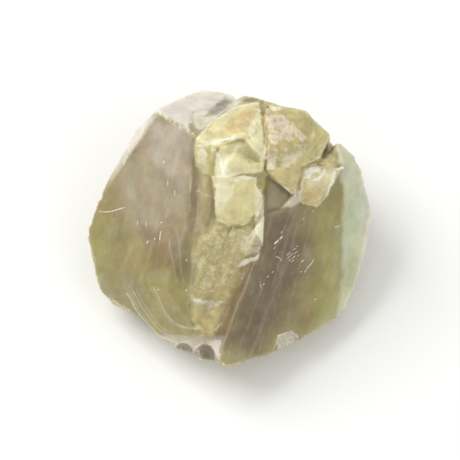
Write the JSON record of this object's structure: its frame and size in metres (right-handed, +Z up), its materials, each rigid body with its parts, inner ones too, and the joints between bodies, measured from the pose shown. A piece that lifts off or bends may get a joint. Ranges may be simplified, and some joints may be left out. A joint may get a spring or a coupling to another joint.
{
  "type": "rough green calcite",
  "caption": "Hand-broken lump of pale green calcite with flat cleavage faces, a crusted block at its crown and a flat underside to rest on.",
  "frame": {"origin": "on the flat underside, near the middle of the lump", "axes": "+Z up from the surface it rests on; the show side looks towards +Z and leans 25 degrees towards -Y; +X runs to the right of the show side"},
  "size_m": [0.0856, 0.0896, 0.0527],
  "materials": {
    "calcite": "translucent olive-green calcite, waxy to glassy on the cleavage faces and dull on the crust"
  },
  "bodies": {
    "root": {"calcite": "calcite"}
  },
  "joints": []
}
